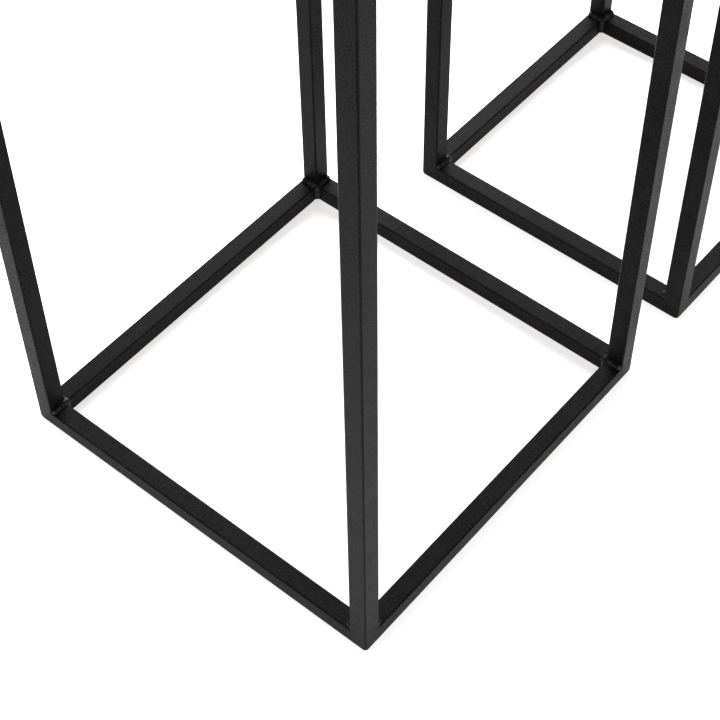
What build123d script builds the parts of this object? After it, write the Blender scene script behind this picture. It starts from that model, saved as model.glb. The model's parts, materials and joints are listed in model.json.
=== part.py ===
from build123d import *
import os

# Two nesting side tables of one construction, standing side by side in a row.
# Frame of the set: X along the row with the large table at -X, Y from front to back, Z up.
# The origin is on the floor, under the middle of the set's bounding box. Millimetres.

# ---- driving dimensions ----
LARGE_SIDE = 350.0      # outer width and depth of the large table
LARGE_HEIGHT = 650.0    # floor to top of the large table
SMALL_SIDE = 280.0      # outer width and depth of the small table
SMALL_HEIGHT = 600.0    # floor to top of the small table
ROW_GAP = 70.0          # between the two tables as they stand

# Square steel tube of both frames
TUBE = 16.0             # outer width
WALL = 1.2              # wall thickness
ARRIS = 1.4             # radius of the long outer edges
CORNER_GRIND = 1.9      # depth ground off each outer corner of a frame, along its diagonal
BORE_ARRIS = 0.4        # radius of the long inner edges

# Fillet welds inside the corners
BEAD = 4.2              # leg length of a bead's section
BEAD_BULGE = 0.58       # middle of the bead's face, as a share of BEAD from each tube
BEAD_START = 1.2        # how far a bead stops short of the outer face or the floor side
BEAD_RUNOUT = 2.2       # how far the beads of a corner run on past each other

# Table top let in between the top rails, and the plates that carry it
BOARD = 12.0            # thickness
BOARD_GAP = 1.0         # shadow gap all round
BOARD_EDGE = 0.8        # radius of the board's upper edges
PLATE = 3.0             # thickness of the corner plates
PLATE_LEG = 34.0        # length of a plate's sides along the rails
PLATE_NOSE = 3.0        # radius of a plate's two sharp corners

# Pan-head wood screw, up through each plate into the board
SCREW_INSET = 11.0      # from the rails' inner faces to the screw's axis
SHANK_R = 1.75          # over the thread
SHANK_RISE = 9.0        # length of shank above the plate, in the board
TIP = 1.8               # length of the screw's point
HEAD_R = 3.6
HEAD = 2.4              # height of the head
HEAD_EDGE = 1.2         # rounding of the head's edge
DRIVE_WIDTH = 0.9       # width of each slot of the cross recess
DRIVE_LENGTH = 4.0
DRIVE_DEPTH = 1.3
PLATE_HOLE_R = 2.25
PILOT_R = 1.20          # smaller than the thread, which cuts into the wood around it
PILOT_SPARE = 0.6       # depth of the pilot hole beyond the screw's point

# Foot pads under the corners of the base ring
PAD = 1.0               # thickness
PAD_SIDE = 12.0
PAD_CORNER = 2.0

ROW_LENGTH = LARGE_SIDE + ROW_GAP + SMALL_SIDE
LARGE_CENTRE = (-ROW_LENGTH / 2 + LARGE_SIDE / 2, 0.0)
SMALL_CENTRE = (ROW_LENGTH / 2 - SMALL_SIDE / 2, -LARGE_SIDE / 2 + SMALL_SIDE / 2)

SIDES = {"front": (0, -1), "back": (0, 1), "left": (-1, 0), "right": (1, 0)}
CORNERS = {"front_left": (-1, -1), "front_right": (1, -1), "back_left": (-1, 1), "back_right": (1, 1)}


def mitred_tube(length):
    """A hollow square tube along Z, its middle at the origin, mitred on the +X and +Y faces' side.

    The two long faces at +X and +Y are outer faces of the frame. Both ends are cut by two planes
    at 45 degrees, so that three such tubes close a corner of the frame. The corner's tip is ground off.
    """
    section = RectangleRounded(TUBE, TUBE, ARRIS)
    section -= RectangleRounded(TUBE - 2 * WALL, TUBE - 2 * WALL, BORE_ARRIS)
    tube = extrude(section, amount=length / 2, both=True)
    for end in (1, -1):
        for outward in (Vector(1, 0, 0), Vector(0, 1, 0)):
            tip = outward * (TUBE / 2) + Vector(0, 0, end * length / 2)
            mitre = Plane(origin=tip, z_dir=outward - Vector(0, 0, end))
            tube = split(tube, bisect_by=mitre, keep=Keep.TOP)
        corner = Vector(TUBE / 2, TUBE / 2, end * length / 2)
        diagonal = Vector(-1, -1, -end).normalized()
        ground = Plane(origin=corner + diagonal * CORNER_GRIND, z_dir=diagonal)
        tube = split(tube, bisect_by=ground, keep=Keep.TOP)
    return tube


def place_tube(tube, centre, first, second):
    """Moves a mitred tube to centre, with its two outer faces towards first and second."""
    outward = Vector(*first)
    return Plane(origin=centre, x_dir=outward, z_dir=outward.cross(Vector(*second))) * tube


def bead(start, end, first, second):
    """A weld bead from start to end in the inside corner between two faces.

    first and second are the directions out of the corner, along the two faces.
    """
    run = Vector(*end) - Vector(*start)
    along = Vector(*first).cross(Vector(*second))
    tail = start if run.dot(along) > 0 else end
    outline = Polyline((0, BEAD), (0, 0), (BEAD, 0))
    outline += ThreePointArc((BEAD, 0), (BEAD * BEAD_BULGE, BEAD * BEAD_BULGE), (0, BEAD))
    section = Plane(origin=tail, x_dir=first, z_dir=along) * make_face(outline)
    return extrude(section, amount=run.length, dir=along)


def corner_point(half, sx, sy, inset):
    """A point in plan, inset from both outer faces at one corner of a square of half width half."""
    return sx * (half - inset), sy * (half - inset)


def base_weld(side, sx, sy):
    """The welds at a lower corner: leg to both rails, and rail to rail. Centred on the table."""
    half = side / 2
    x, y = corner_point(half, sx, sy, TUBE)
    z = PAD + TUBE
    outer = half - BEAD_START
    leg_on_x_rail = bead((x, sy * outer, z), (x, y - sy * BEAD_RUNOUT, z), (-sx, 0, 0), (0, 0, 1))
    leg_on_y_rail = bead((sx * outer, y, z), (x - sx * BEAD_RUNOUT, y, z), (0, -sy, 0), (0, 0, 1))
    rails = bead((x, y, PAD + BEAD_START), (x, y, z + BEAD_RUNOUT), (-sx, 0, 0), (0, -sy, 0))
    return leg_on_x_rail + leg_on_y_rail + rails


def top_weld(side, height, sx, sy):
    """The welds at an upper corner: leg to the underside of both rails. Centred on the table."""
    half = side / 2
    x, y = corner_point(half, sx, sy, TUBE)
    z = height - TUBE
    outer = half - BEAD_START
    leg_to_x_rail = bead((x, sy * outer, z), (x, y - sy * BEAD_RUNOUT, z), (-sx, 0, 0), (0, 0, -1))
    leg_to_y_rail = bead((sx * outer, y, z), (x - sx * BEAD_RUNOUT, y, z), (0, -sy, 0), (0, 0, -1))
    return leg_to_x_rail + leg_to_y_rail


def corner_plate():
    """A triangular plate, its right angle at the origin and its sides along +X and +Y, on Z = 0."""
    outline = Polyline((0, 0), (PLATE_LEG, 0), (0, PLATE_LEG), close=True)
    plate = extrude(make_face(outline), amount=PLATE)
    sharp = plate.edges().filter_by(Axis.Z).filter_by(lambda edge: edge.center().length > PLATE_LEG / 2)
    plate = fillet(sharp, PLATE_NOSE)
    return plate - Pos(SCREW_INSET, SCREW_INSET, PLATE / 2) * Cylinder(PLATE_HOLE_R, 2 * PLATE)


def screw():
    """A pan-head screw pointing up, its head's bearing face on Z = 0."""
    head = Pos(0, 0, -HEAD / 2) * Cylinder(HEAD_R, HEAD)
    head = fillet(head.edges().sort_by(Axis.Z)[0], HEAD_EDGE)
    for width, length in ((DRIVE_WIDTH, DRIVE_LENGTH), (DRIVE_LENGTH, DRIVE_WIDTH)):
        head -= Pos(0, 0, -HEAD + DRIVE_DEPTH / 2) * Box(width, length, DRIVE_DEPTH)
    straight = PLATE + SHANK_RISE - TIP
    shank = Pos(0, 0, straight / 2) * Cylinder(SHANK_R, straight)
    point = Pos(0, 0, straight + TIP / 2) * Cone(SHANK_R, SHANK_R / 5, TIP)
    return head + shank + point


def table_top(side, height):
    """The board, flush with the top rails, with a pilot hole over each corner plate."""
    width = side - 2 * (TUBE + BOARD_GAP)
    board = Pos(0, 0, height - BOARD / 2) * Box(width, width, BOARD)
    board = fillet(board.faces().sort_by(Axis.Z)[-1].edges(), BOARD_EDGE)
    depth = SHANK_RISE + PILOT_SPARE
    for sx, sy in CORNERS.values():
        x, y = corner_point(side / 2, sx, sy, TUBE + SCREW_INSET)
        board -= Pos(x, y, height - BOARD + depth / 2) * Cylinder(PILOT_R, depth)
    return board


def foot_pad():
    """A thin square pad standing on Z = 0."""
    return extrude(RectangleRounded(PAD_SIDE, PAD_SIDE, PAD_CORNER), amount=PAD)


def table(name, side, height):
    """Every piece of one table, centred on the origin, as a dictionary of node name to shape."""
    pieces = {}
    ring = (side - TUBE) / 2
    leg_length = height - PAD
    leg = mitred_tube(leg_length)
    rail = mitred_tube(side)
    plate = corner_plate()
    pad = foot_pad()
    plate_level = height - BOARD - PLATE

    for corner, (sx, sy) in CORNERS.items():
        middle = (sx * ring, sy * ring, PAD + leg_length / 2)
        pieces[f"{name}_leg_{corner}"] = place_tube(leg, middle, (sx, 0, 0), (0, sy, 0))
        pieces[f"{name}_foot_pad_{corner}"] = Pos(sx * ring, sy * ring, 0) * pad

    for level, z, down in (("base", PAD + TUBE / 2, -1), ("top", height - TUBE / 2, 1)):
        for where, (sx, sy) in SIDES.items():
            middle = (sx * ring, sy * ring, z)
            pieces[f"{name}_{level}_rail_{where}"] = place_tube(rail, middle, (sx, sy, 0), (0, 0, down))

    for corner, (sx, sy) in CORNERS.items():
        x, y = corner_point(side / 2, sx, sy, TUBE)
        inward = Vector(-sx, 0, 0) if sx == sy else Vector(0, -sy, 0)
        seat = Plane(origin=(x, y, plate_level), x_dir=inward, z_dir=(0, 0, 1))
        pieces[f"{name}_top_plate_{corner}"] = seat * plate

    screws = [Pos(*corner_point(side / 2, sx, sy, TUBE + SCREW_INSET), plate_level) * screw()
              for sx, sy in CORNERS.values()]
    pieces[f"{name}_top_screws"] = Compound(children=screws)
    pieces[f"{name}_table_top"] = table_top(side, height)
    base_welds = [base_weld(side, sx, sy) for sx, sy in CORNERS.values()]
    pieces[f"{name}_base_welds"] = Compound(children=base_welds)
    top_welds = [top_weld(side, height, sx, sy) for sx, sy in CORNERS.values()]
    pieces[f"{name}_top_welds"] = Compound(children=top_welds)
    return pieces


def write_table(name, side, height, centre):
    """Writes one STEP file per piece of a table, moved to its place in the row."""
    for node, shape in table(name, side, height).items():
        export_step(Pos(*centre, 0) * shape, f"parts/{node}.step")


os.makedirs("parts", exist_ok=True)
write_table("large", LARGE_SIDE, LARGE_HEIGHT, LARGE_CENTRE)
write_table("small", SMALL_SIDE, SMALL_HEIGHT, SMALL_CENTRE)
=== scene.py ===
import json
import math

import bmesh
import bpy
from mathutils import Matrix, Vector, noise


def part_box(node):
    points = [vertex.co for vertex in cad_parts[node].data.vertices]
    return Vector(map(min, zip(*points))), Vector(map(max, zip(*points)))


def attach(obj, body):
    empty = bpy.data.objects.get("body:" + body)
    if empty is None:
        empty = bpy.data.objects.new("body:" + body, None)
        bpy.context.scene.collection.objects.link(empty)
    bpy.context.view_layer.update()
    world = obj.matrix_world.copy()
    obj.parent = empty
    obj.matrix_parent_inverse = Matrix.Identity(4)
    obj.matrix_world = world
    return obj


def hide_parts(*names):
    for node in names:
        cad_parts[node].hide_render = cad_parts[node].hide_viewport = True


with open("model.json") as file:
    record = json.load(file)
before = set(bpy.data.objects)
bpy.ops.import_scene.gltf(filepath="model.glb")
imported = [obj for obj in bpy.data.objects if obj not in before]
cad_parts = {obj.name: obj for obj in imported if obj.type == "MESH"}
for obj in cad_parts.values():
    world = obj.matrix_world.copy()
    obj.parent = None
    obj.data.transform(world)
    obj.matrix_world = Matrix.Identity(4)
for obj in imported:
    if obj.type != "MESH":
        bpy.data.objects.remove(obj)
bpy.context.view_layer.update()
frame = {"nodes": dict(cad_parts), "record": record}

# ---------------------------------------------------------------- dimensions, metres

CORNERS = {"front_left": (-1, -1), "front_right": (1, -1), "back_left": (-1, 1), "back_right": (1, 1)}

BEAD_REACH = 0.0042          # how far a weld bead reaches out on each tube
BEAD_CONVEX = 1.60           # roundness of its face: 1 is flat, 2 a quarter circle
BEAD_PITCH = 0.0040          # spacing of its ripples
BEAD_RIPPLE = 0.30           # height of a ripple, as a share of the reach
BEAD_SINK = 0.0006           # how far its back lies inside the tubes
BEAD_START = 0.0008          # how far it stops short of the frame's outer face
BEAD_OVERRUN = 0.0026        # how far it runs on past the inner corner
BEAD_SWELL = 0.22            # how much its reach swells and shrinks, as a share of the reach
TAPER_SHARE = 0.6            # length of its tapered ends, as a share of the reach
TAPER_START = 0.0003         # added to the distance from an end, so that a bead doesn't end in a point
RIPPLE_SHAPE = 0.6           # sharpness of the valleys between ripples
RIPPLE_MEAN = 0.7            # the ripple's mean, taken off so that the reach stays the same
RIPPLE_LAG = 0.35            # how far a ripple lags behind at the faces, in ripples
RIPPLE_WANDER = 0.4          # how far the ripples wander, in ripples
WANDER_SCALE = 300.0         # how fast the swelling and the wandering change, per metre
RING_SPACING = 0.0004        # distance between two cross-sections
FEWEST_STEPS = 8
ARC_STEPS = 10               # parts of a cross-section's arc
FILLET_REACH = 0.0036        # the smoother bead between two rails
FILLET_RIPPLE = 0.4          # height of its ripples, as a share of the other beads'
CORNER_LUMP = 0.0033         # radius of the lump where a corner's beads meet
CORNER_OUT = 0.2             # how far the lump sits out of the corner, as a share of its radius
START_LUMP = 0.0031          # radius of the lump where a bead was started
START_OUT = 0.55             # how far that lump sits out of the corner, as a share of its radius
LUMP_SWELL = 0.16            # unevenness of the lumps, as a share of the radius
LUMP_SCALE = 1.7             # size of that unevenness
LUMP_FINENESS = 3            # subdivisions of a lump's ball
WELD_VOXEL = 0.00045         # voxel size at which the beads of a ring are fused
SMOOTH_FACTOR = 0.5
SMOOTH_PASSES = 2
STAVE = 0.0395               # width of one glued stave of a table top

# ---------------------------------------------------------------- node helpers


def new_material(name, slot_color=(0.5, 0.5, 0.5)):
    """An empty node material with its Principled shader and the object coordinates."""
    material = bpy.data.materials.new(name)
    material.use_nodes = True
    material.diffuse_color = (*slot_color, 1.0)
    nodes = material.node_tree.nodes
    shader = nodes["Principled BSDF"]
    coordinates = nodes.new("ShaderNodeTexCoord")
    return material, nodes, material.node_tree.links, shader, coordinates.outputs["Object"]


def noise_node(nodes, links, vector, scale, detail=2.0, roughness=0.5, distortion=0.0):
    """The grey output of a noise texture."""
    node = nodes.new("ShaderNodeTexNoise")
    node.inputs["Scale"].default_value = scale
    node.inputs["Detail"].default_value = detail
    node.inputs["Roughness"].default_value = roughness
    node.inputs["Distortion"].default_value = distortion
    links.new(vector, node.inputs["Vector"])
    return node.outputs["Fac"]


def stretched(nodes, links, vector, scale):
    """The vector scaled by a different factor on each axis."""
    node = nodes.new("ShaderNodeMapping")
    node.inputs["Scale"].default_value = scale
    links.new(vector, node.inputs["Vector"])
    return node.outputs["Vector"]


def ramp(nodes, links, value, stops):
    """A colour ramp. stops is a list of (position, (r, g, b))."""
    node = nodes.new("ShaderNodeValToRGB")
    elements = node.color_ramp.elements
    while len(elements) < len(stops):
        elements.new(0.5)
    for element, (position, color) in zip(elements, stops):
        element.position = position
        element.color = (*color, 1.0)
    links.new(value, node.inputs["Fac"])
    return node.outputs["Color"]


def remapped(nodes, links, value, low, high, to_low, to_high):
    """The value's stretch from low to high mapped to to_low to to_high, clamped."""
    node = nodes.new("ShaderNodeMapRange")
    limits = {"From Min": low, "From Max": high, "To Min": to_low, "To Max": to_high}
    for socket, number in limits.items():
        node.inputs[socket].default_value = number
    links.new(value, node.inputs["Value"])
    return node.outputs["Result"]


def calculated(nodes, links, operation, first, second=None):
    """A math node. Each operand is a socket or a number."""
    node = nodes.new("ShaderNodeMath")
    node.operation = operation
    for socket, operand in zip(node.inputs, (first, second)):
        if isinstance(operand, (int, float)):
            socket.default_value = operand
        elif operand is not None:
            links.new(operand, socket)
    return node.outputs["Value"]


def mixed(nodes, links, factor, first, second, blend="MIX"):
    """A colour mix. factor, first and second are each a socket or a constant."""
    node = nodes.new("ShaderNodeMix")
    node.data_type = "RGBA"
    node.blend_type = blend
    for index, operand in ((0, factor), (6, first), (7, second)):
        if hasattr(operand, "is_output"):
            links.new(operand, node.inputs[index])
        elif isinstance(operand, (int, float)):
            node.inputs[index].default_value = operand
        else:
            node.inputs[index].default_value = (*operand, 1.0)
    return node.outputs[2]


def bumped(nodes, links, height, distance, strength, normal=None):
    """A bump node's normal. distance is the height in metres of a full step of the texture."""
    node = nodes.new("ShaderNodeBump")
    node.inputs["Distance"].default_value = distance
    node.inputs["Strength"].default_value = strength
    links.new(height, node.inputs["Height"])
    if normal is not None:
        links.new(normal, node.inputs["Normal"])
    return node.outputs["Normal"]


# ---------------------------------------------------------------- materials

DARK_TONE = 0.36             # the range of the coat's noise between its darkest and lightest grain
LIGHT_TONE = 0.64
STAVE_SHIFT = 3.0            # how far apart the staves' grain is taken from the noise, metres


def powder_coat(name, ior, smoothest, roughest, relief):
    """Black powder coat: a hard grain under a millimetre over a slow orange peel.

    The low refractive index stands for how little the matt grain reflects at steep angles.
    """
    material, nodes, links, shader, place = new_material(name, (0.02, 0.02, 0.02))
    grain = noise_node(nodes, links, place, scale=1150.0, detail=2.5, roughness=0.6)
    peel = noise_node(nodes, links, place, scale=330.0, detail=1.0)
    cloud = noise_node(nodes, links, place, scale=45.0, detail=3.0)
    grain_share = calculated(nodes, links, "MULTIPLY", grain, 0.75)
    cloud_share = calculated(nodes, links, "MULTIPLY", cloud, 0.25)
    tone = calculated(nodes, links, "ADD", grain_share, cloud_share)
    color = ramp(nodes, links, tone, [(DARK_TONE, (0.0002, 0.0002, 0.0002)),
                                      (LIGHT_TONE, (0.0126, 0.0117, 0.0123))])
    links.new(color, shader.inputs["Base Color"])
    gloss = remapped(nodes, links, tone, DARK_TONE, LIGHT_TONE, smoothest, roughest)
    links.new(gloss, shader.inputs["Roughness"])
    shader.inputs["IOR"].default_value = ior
    normal = bumped(nodes, links, peel, distance=0.00025, strength=0.12)
    normal = bumped(nodes, links, grain, distance=relief, strength=1.0, normal=normal)
    links.new(normal, shader.inputs["Normal"])
    return material


def staves(nodes, links, place):
    """Splits a board into glued staves along Y.

    Returns a random number for each stave, coordinates of its own, and a mask of the glue joints.
    """
    axes = nodes.new("ShaderNodeSeparateXYZ")
    links.new(place, axes.inputs["Vector"])
    across = calculated(nodes, links, "DIVIDE", axes.outputs["X"], STAVE)
    index = calculated(nodes, links, "FLOOR", across)
    within = calculated(nodes, links, "FRACT", across)
    chance = nodes.new("ShaderNodeTexWhiteNoise")
    chance.noise_dimensions = "1D"
    links.new(index, chance.inputs["W"])
    spread = nodes.new("ShaderNodeVectorMath")
    spread.operation = "SCALE"
    spread.inputs["Scale"].default_value = STAVE_SHIFT
    links.new(chance.outputs["Color"], spread.inputs[0])
    own = nodes.new("ShaderNodeVectorMath")
    own.operation = "ADD"
    links.new(place, own.inputs[0])
    links.new(spread.outputs["Vector"], own.inputs[1])
    edge = calculated(nodes, links, "ABSOLUTE", calculated(nodes, links, "SUBTRACT", within, 0.5))
    joint = remapped(nodes, links, edge, low=0.488, high=0.497, to_low=0.0, to_high=0.75)
    return chance.outputs["Value"], own.outputs["Vector"], joint


def wood():
    """Oiled oak in glued staves along Y: growth bands, fibres, pores and a hair line at each joint."""
    material, nodes, links, shader, place = new_material("oiled_oak", (0.4, 0.25, 0.13))
    chance, log, joint = staves(nodes, links, place)
    along = stretched(nodes, links, log, (1.0, 0.09, 1.0))
    band = noise_node(nodes, links, along, scale=85.0, detail=5.0, roughness=0.62, distortion=0.9)
    along = stretched(nodes, links, log, (1.0, 0.035, 1.0))
    fibre = noise_node(nodes, links, along, scale=1500.0, detail=3.0, roughness=0.6)
    along = stretched(nodes, links, log, (1.0, 0.05, 1.0))
    pore = noise_node(nodes, links, along, scale=900.0, detail=1.0, roughness=0.5)

    color = ramp(nodes, links, band, [(0.28, (0.165, 0.084, 0.037)), (0.45, (0.275, 0.152, 0.072)),
                                      (0.60, (0.365, 0.215, 0.108)), (0.80, (0.225, 0.118, 0.054))])
    fine = ramp(nodes, links, fibre, [(0.25, (0.74, 0.70, 0.66)), (0.75, (1.10, 1.08, 1.06))])
    color = mixed(nodes, links, 1.0, color, fine, "MULTIPLY")
    pores = remapped(nodes, links, pore, low=0.66, high=0.74, to_low=0.0, to_high=0.6)
    color = mixed(nodes, links, pores, color, (0.12, 0.06, 0.028))
    stave_tone = remapped(nodes, links, chance, low=0.0, high=1.0, to_low=0.80, to_high=1.16)
    toned = nodes.new("ShaderNodeHueSaturation")
    links.new(stave_tone, toned.inputs["Value"])
    links.new(color, toned.inputs["Color"])
    color = mixed(nodes, links, joint, toned.outputs["Color"], (0.07, 0.035, 0.018))
    links.new(color, shader.inputs["Base Color"])

    gloss = remapped(nodes, links, fibre, low=0.3, high=0.7, to_low=0.44, to_high=0.60)
    links.new(gloss, shader.inputs["Roughness"])
    shader.inputs["IOR"].default_value = 1.47
    sunk = calculated(nodes, links, "MULTIPLY", pores, 0.8)
    relief = calculated(nodes, links, "SUBTRACT", fibre, sunk)
    relief = calculated(nodes, links, "SUBTRACT", relief, joint)
    links.new(bumped(nodes, links, relief, distance=0.00008, strength=0.5), shader.inputs["Normal"])
    return material


def zinc():
    """Bright zinc plating with faint cloudy passivation."""
    material, nodes, links, shader, place = new_material("zinc_plated", (0.6, 0.6, 0.58))
    cloud = noise_node(nodes, links, place, scale=500.0, detail=3.0)
    color = ramp(nodes, links, cloud, [(0.3, (0.55, 0.54, 0.50)), (0.7, (0.70, 0.71, 0.72))])
    links.new(color, shader.inputs["Base Color"])
    gloss = remapped(nodes, links, cloud, low=0.3, high=0.7, to_low=0.28, to_high=0.42)
    links.new(gloss, shader.inputs["Roughness"])
    shader.inputs["Metallic"].default_value = 1.0
    squeezed = stretched(nodes, links, place, (1.0, 1.0, 6.0))
    scratch = noise_node(nodes, links, squeezed, scale=2500.0, detail=2.0)
    links.new(bumped(nodes, links, scratch, distance=0.00002, strength=0.4), shader.inputs["Normal"])
    return material


def rubber():
    """Matt black rubber for the foot pads."""
    material, nodes, links, shader, place = new_material("pad_rubber", (0.03, 0.03, 0.03))
    speck = noise_node(nodes, links, place, scale=1800.0, detail=2.0)
    color = ramp(nodes, links, speck, [(0.35, (0.010, 0.010, 0.010)), (0.65, (0.022, 0.021, 0.020))])
    links.new(color, shader.inputs["Base Color"])
    gloss = remapped(nodes, links, speck, low=0.3, high=0.7, to_low=0.75, to_high=0.9)
    links.new(gloss, shader.inputs["Roughness"])
    links.new(bumped(nodes, links, speck, distance=0.00005, strength=0.5), shader.inputs["Normal"])
    return material


COAT = powder_coat("powder_coat_black", ior=1.086, smoothest=0.14, roughest=0.48, relief=0.00034)
MATERIALS = {"powder_coat": COAT, "wood_top": wood(), "screw": zinc(), "foot_pad": rubber()}
# The coat runs together on the weld beads: thicker, smoother and glossier.
BEAD_COAT = powder_coat("powder_coat_thick", ior=1.235, smoothest=0.20, roughest=0.40, relief=0.00014)


def dress(piece, slot):
    """Gives a piece the finished material of one of the record's slots."""
    piece.data.materials.clear()
    piece.data.materials.append(MATERIALS[slot])


for subpart in frame["record"]["subparts"]:
    dress(frame["nodes"][subpart["node"]], subpart["material_slot"])

# ---------------------------------------------------------------- weld beads

CENTIMETRES = 100.0          # in a metre
SEED_STEP = 7.3              # how a corner's place, in centimetres, turns into its seed
SEED_SKEW = 2.1
LEVEL_SEEDS = {"base": 0.0, "top": 31.0}
SEED_ON_Y = 11.0             # what is added to a corner's seed for each of its other beads and lumps
SEED_DOWN = 23.0
SEED_LUMP = 40.0


def bead_rings(start, end, first, second, reach, ripple, seed):
    """Cross-sections of one bead along the inside corner from start to end.

    first and second point out of the corner along the two faces. Each section is a convex arc
    from face to face, closed behind, inside the steel.
    """
    run = end - start
    steps = max(FEWEST_STEPS, round(run.length / RING_SPACING))
    rings = []
    for step in range(steps + 1):
        travelled = run.length * step / steps
        here = start + run * (step / steps)
        to_end = min(travelled, run.length - travelled)
        taper = math.sqrt(min(1.0, (to_end + TAPER_START) / (TAPER_SHARE * reach)))
        wander = noise.noise(Vector((travelled * WANDER_SCALE, seed, 0.0)))
        ring = []
        for arc_step in range(ARC_STEPS + 1):
            angle = 0.5 * math.pi * arc_step / ARC_STEPS
            across, above = math.cos(angle), math.sin(angle)
            lag = RIPPLE_LAG * (angle / (0.25 * math.pi) - 1.0) ** 2
            phase = travelled / BEAD_PITCH + lag + RIPPLE_WANDER * wander
            wave = abs(math.sin(math.pi * phase)) ** RIPPLE_SHAPE
            grown = reach * taper * (1.0 + BEAD_SWELL * wander + ripple * (wave - RIPPLE_MEAN))
            size = grown / (across ** BEAD_CONVEX + above ** BEAD_CONVEX) ** (1.0 / BEAD_CONVEX)
            ring.append(here + size * (across * first + above * second))
        ring.append(here - BEAD_SINK * first + grown * second)
        ring.append(here - BEAD_SINK * (first + second))
        ring.append(here - BEAD_SINK * second + grown * first)
        rings.append(ring)
    return rings


def add_tube(mesh, rings):
    """Adds a closed tube through the rings to a bmesh."""
    loops = [[mesh.verts.new(point) for point in ring] for ring in rings]
    count = len(rings[0])
    for one, two in zip(loops, loops[1:]):
        for index in range(count):
            after = (index + 1) % count
            mesh.faces.new((one[index], one[after], two[after], two[index]))
    mesh.faces.new(loops[0][::-1])
    mesh.faces.new(loops[-1])


def add_blob(mesh, centre, radius, seed):
    """Adds an uneven lump of weld metal to a bmesh."""
    ball = bmesh.ops.create_icosphere(mesh, subdivisions=LUMP_FINENESS, radius=1.0)
    for vert in ball["verts"]:
        swell = 1.0 + LUMP_SWELL * noise.noise(vert.co * LUMP_SCALE + Vector((seed, 0.0, 0.0)))
        vert.co = centre + vert.co * radius * swell


def fused(name, mesh, voxel):
    """Makes an object of a bmesh of overlapping closed shapes, fused to one smooth skin."""
    bmesh.ops.recalc_face_normals(mesh, faces=mesh.faces)
    data = bpy.data.meshes.new(name)
    mesh.to_mesh(data)
    mesh.free()
    piece = bpy.data.objects.new(name, data)
    bpy.context.scene.collection.objects.link(piece)
    remesh = piece.modifiers.new("remesh", "REMESH")
    remesh.mode = "VOXEL"
    remesh.voxel_size = voxel
    smooth = piece.modifiers.new("smooth", "SMOOTH")
    smooth.factor = SMOOTH_FACTOR
    smooth.iterations = SMOOTH_PASSES
    evaluated = piece.evaluated_get(bpy.context.evaluated_depsgraph_get())
    final = bpy.data.meshes.new_from_object(evaluated)
    piece.modifiers.clear()
    piece.data = final
    piece.data.shade_smooth()
    return piece


def corner_frame(table, corner):
    """The signs of one leg's corner, and the X and Y of the leg's inner and outer edges."""
    sx, sy = CORNERS[corner]
    low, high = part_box(f"{table}_leg_{corner}")
    x = low.x if sx > 0 else high.x
    y = low.y if sy > 0 else high.y
    outer_x = high.x if sx > 0 else low.x
    outer_y = high.y if sy > 0 else low.y
    return sx, sy, x, y, outer_x, outer_y


def corner_seed(x, y, level):
    """A number of its own for each corner, which the noise of its beads starts from."""
    return SEED_STEP * (x + SEED_SKEW * y) * CENTIMETRES + LEVEL_SEEDS[level]


def weld_corner(mesh, table, corner, level):
    """The beads of one corner: leg to both rails, and at the base rail to rail too."""
    sx, sy, x, y, outer_x, outer_y = corner_frame(table, corner)
    rail_low, rail_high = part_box(f"{table}_{level}_rail_front")
    base = level == "base"
    z = rail_high.z if base else rail_low.z
    up = Vector((0, 0, 1 if base else -1))
    in_x, in_y = Vector((-sx, 0, 0)), Vector((0, -sy, 0))
    seed = corner_seed(x, y, level)
    root = Vector((x, y, z))
    start_on_x = Vector((x, outer_y - sy * BEAD_START, z))
    start_on_y = Vector((outer_x - sx * BEAD_START, y, z))
    end_on_x = Vector((x, y - sy * BEAD_OVERRUN, z))
    end_on_y = Vector((x - sx * BEAD_OVERRUN, y, z))
    on_x = bead_rings(start_on_x, end_on_x, in_x, up, BEAD_REACH, BEAD_RIPPLE, seed)
    on_y = bead_rings(start_on_y, end_on_y, in_y, up, BEAD_REACH, BEAD_RIPPLE, seed + SEED_ON_Y)
    add_tube(mesh, on_x)
    add_tube(mesh, on_y)
    if base:
        foot = Vector((x, y, rail_low.z + BEAD_START))
        top = Vector((x, y, z + BEAD_OVERRUN))
        ripple = FILLET_RIPPLE * BEAD_RIPPLE
        add_tube(mesh, bead_rings(foot, top, in_x, in_y, FILLET_REACH, ripple, seed + SEED_DOWN))
    for start, out in ((start_on_x, in_x), (start_on_y, in_y)):
        inward = (root - start).normalized()
        lump = start + inward * START_LUMP + (out + up) * (START_OUT * START_LUMP)
        add_blob(mesh, lump, START_LUMP, seed + SEED_LUMP * out.x)
    inner = root + (in_x + in_y + up) * (CORNER_OUT * CORNER_LUMP)
    add_blob(mesh, inner, CORNER_LUMP, seed)


def welds(table, level):
    """All the welds of one ring as one piece, in place of the plain beads of the CAD."""
    mesh = bmesh.new()
    for corner in CORNERS:
        weld_corner(mesh, table, corner, level)
    piece = fused(f"{table}_{level}_weld_beads", mesh, WELD_VOXEL)
    piece.data.materials.append(BEAD_COAT)
    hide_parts(f"{table}_{level}_welds")
    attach(piece, f"{table}_table")


for table in ("large", "small"):
    for level in ("base", "top"):
        welds(table, level)

# ---------------------------------------------------------------- floor, light and camera

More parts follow.
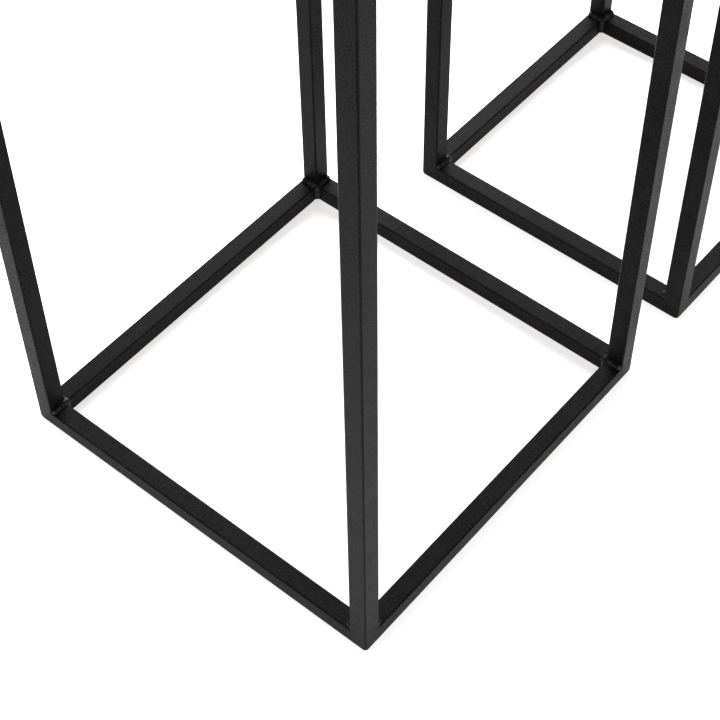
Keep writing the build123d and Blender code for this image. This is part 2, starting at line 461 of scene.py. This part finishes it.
FLOOR_HALF = 30.0            # half the floor's side
FLOOR_LEVEL = -0.0001        # a hair under the pads, so that no two faces coincide
PAINTED_SHADOW_GLOW = 0.54           # glow of the floor itself under the tables, kept lower there as a painted shadow of the table tops
OPEN_GLOW = 1.02             # and out in the open
PAINTED_SHADOW_MARGIN = 0.03          # half the width of the painted shadow's soft edge, around a footprint
SOFTBOX_DISTANCE = 3.0
LIT_POINT = Vector((0.0, 0.0, 0.1))
WALL_TOP = 0.22              # sine of the elevation up to which the surroundings are a white wall
CEILING_START = 0.48         # and from which they are a dim ceiling
CAMERA_AIM = Vector((-0.1360, 0.0086, 0.0))
CAMERA_DISTANCE = 1.5252
CAMERA_LENS = 89.82          # millimetres, on the usual 36 mm sensor
CAMERA_FAR = 200.0
CAMERA_TURN = math.radians(49.578)   # from -Y towards -X
CAMERA_DOWN = math.radians(51.378)
CAMERA_ROLL = math.radians(-0.886)


def outside(nodes, links, axes, table):
    """How far a point of the floor lies outside a table's footprint. Less than 0 is under it."""
    low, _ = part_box(f"{table}_leg_front_left")
    _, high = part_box(f"{table}_leg_back_right")
    past = []
    for axis, least, most in (("X", low.x, high.x), ("Y", low.y, high.y)):
        off = calculated(nodes, links, "SUBTRACT", axes.outputs[axis], 0.5 * (least + most))
        off = calculated(nodes, links, "ABSOLUTE", off)
        past.append(calculated(nodes, links, "SUBTRACT", off, 0.5 * (most - least)))
    return calculated(nodes, links, "MAXIMUM", past[0], past[1])


def floor():
    """A wide plain pale floor that glows though it is no lamp: a little under the tables, as a painted
    shadow of their tops, and more around them.
    """
    data = bpy.data.meshes.new("studio_floor")
    half = FLOOR_HALF
    corners = [(-half, -half), (half, -half), (half, half), (-half, half)]
    data.from_pydata([(x, y, FLOOR_LEVEL) for x, y in corners], [], [(0, 1, 2, 3)])
    plane = bpy.data.objects.new("studio_floor", data)
    bpy.context.scene.collection.objects.link(plane)
    material, nodes, links, shader, place = new_material("pale_floor_painted_shadow", (0.9, 0.9, 0.9))
    tone = noise_node(nodes, links, place, scale=3.0, detail=2.0)
    color = ramp(nodes, links, tone, [(0.3, (0.64, 0.636, 0.63)), (0.7, (0.66, 0.656, 0.65))])
    links.new(color, shader.inputs["Base Color"])
    shader.inputs["Roughness"].default_value = 0.85
    axes = nodes.new("ShaderNodeSeparateXYZ")
    links.new(place, axes.inputs["Vector"])
    away = calculated(nodes, links, "MINIMUM", outside(nodes, links, axes, "large"),
                      outside(nodes, links, axes, "small"))
    # Painted shadow: the floor's glow is lower under each table's footprint, as if the table tops shaded
    # it.
    glow_with_painted_shadow = remapped(nodes, links, away, -PAINTED_SHADOW_MARGIN, PAINTED_SHADOW_MARGIN, PAINTED_SHADOW_GLOW, OPEN_GLOW)
    shader.inputs["Emission Color"].default_value = (1.0, 0.995, 0.985, 1.0)
    links.new(glow_with_painted_shadow, shader.inputs["Emission Strength"])
    data.materials.append(material)


def softbox(name, azimuth, elevation, side, power, color=(1.0, 1.0, 1.0)):
    """A square softbox facing the tables. Azimuth is measured from -Y towards +X, in degrees."""
    turn, rise = math.radians(azimuth), math.radians(elevation)
    toward = Vector((math.sin(turn) * math.cos(rise), -math.cos(turn) * math.cos(rise), math.sin(rise)))
    data = bpy.data.lights.new(name, "AREA")
    data.shape = "SQUARE"
    data.size = side
    data.energy = power
    data.color = color
    light = bpy.data.objects.new(name, data)
    light.location = LIT_POINT + toward * SOFTBOX_DISTANCE
    light.rotation_euler = (-toward).to_track_quat("-Z", "Y").to_euler()
    bpy.context.scene.collection.objects.link(light)


def studio():
    """White walls under a dim ceiling, and four softboxes: left, behind on both sides, and in front."""
    world = bpy.data.worlds.new("studio")
    world.use_nodes = True
    nodes, links = world.node_tree.nodes, world.node_tree.links
    axes = nodes.new("ShaderNodeSeparateXYZ")
    links.new(nodes.new("ShaderNodeTexCoord").outputs["Generated"], axes.inputs["Vector"])
    color = ramp(nodes, links, axes.outputs["Z"], [(WALL_TOP, (1.0, 1.0, 1.0)),
                                                   (CEILING_START, (0.08, 0.08, 0.08))])
    links.new(color, nodes["Background"].inputs["Color"])
    bpy.context.scene.world = world
    softbox("softbox_left", azimuth=252.0, elevation=30.0, side=1.0, power=19.0)
    softbox("softbox_back_left", azimuth=225.0, elevation=52.0, side=2.4, power=10.0)
    softbox("softbox_back_right", azimuth=131.0, elevation=45.0, side=1.9, power=200.0)
    softbox("softbox_front", azimuth=24.0, elevation=31.0, side=1.0, power=18.0, color=(1.0, 0.93, 0.85))


def camera():
    """The photograph's viewpoint: high over the large table's near corner, looking down at the rings."""
    data = bpy.data.cameras.new("camera")
    data.lens = CAMERA_LENS
    data.clip_end = CAMERA_FAR
    back = Vector((-math.sin(CAMERA_TURN) * math.cos(CAMERA_DOWN),
                   -math.cos(CAMERA_TURN) * math.cos(CAMERA_DOWN),
                   math.sin(CAMERA_DOWN)))
    eye = bpy.data.objects.new("camera", data)
    eye.location = CAMERA_AIM + back * CAMERA_DISTANCE
    level = (-back).to_track_quat("-Z", "Y")
    eye.rotation_mode = "QUATERNION"
    eye.rotation_quaternion = level @ Matrix.Rotation(CAMERA_ROLL, 3, "Z").to_quaternion()
    bpy.context.scene.collection.objects.link(eye)
    bpy.context.scene.camera = eye


floor()
studio()
camera()
bpy.context.scene.view_settings.view_transform = "Standard"
